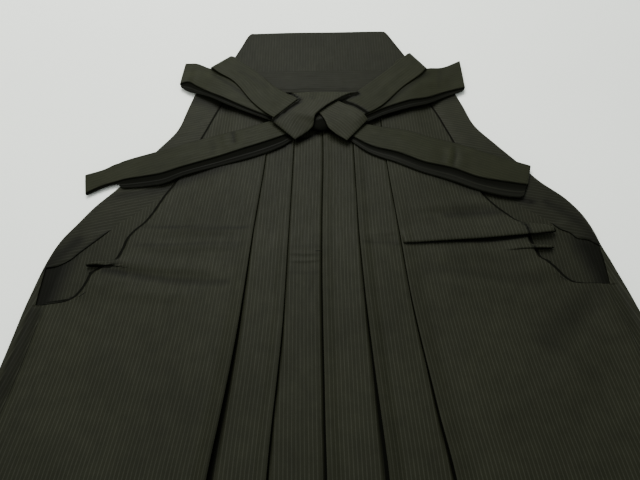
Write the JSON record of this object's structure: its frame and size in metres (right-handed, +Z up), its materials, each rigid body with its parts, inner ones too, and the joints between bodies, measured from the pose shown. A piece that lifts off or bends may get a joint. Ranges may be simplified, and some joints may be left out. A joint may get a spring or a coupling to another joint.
{
  "type": "hakama trousers",
  "caption": "Pleated wide-leg trousers laid flat, with a stiff board at the back waist and long ties folded and knotted in front",
  "frame": {"origin": "the middle of the laid garment, on the surface that it lies on", "axes": "+X to the viewer's right across the garment, +Y from the hem to the waist, +Z up from the surface"},
  "size_m": [0.8004, 0.99, 0.0239],
  "materials": {
    "cloth": "very dark olive woven cloth with fine lighter stripes",
    "board_cloth": "the same striped cloth over a stiff board",
    "tie_cloth": "the same striped cloth, its stripes along the tie"
  },
  "bodies": {
    "root": {"front_left": "cloth", "front_right": "cloth", "back_left": "cloth", "back_right": "cloth", "gusset_left": "cloth", "gusset_right": "cloth", "back_board": "board_cloth", "waist_band": "tie_cloth", "front_tie_arm_left": "tie_cloth", "front_tie_arm_right": "tie_cloth", "front_tie_tail_left": "tie_cloth", "front_tie_tail_right": "tie_cloth", "back_tie_left": "tie_cloth", "back_tie_right": "tie_cloth", "knot_wrap_left": "tie_cloth", "knot_wrap_right": "tie_cloth", "knot_core": "tie_cloth"}
  },
  "joints": []
}
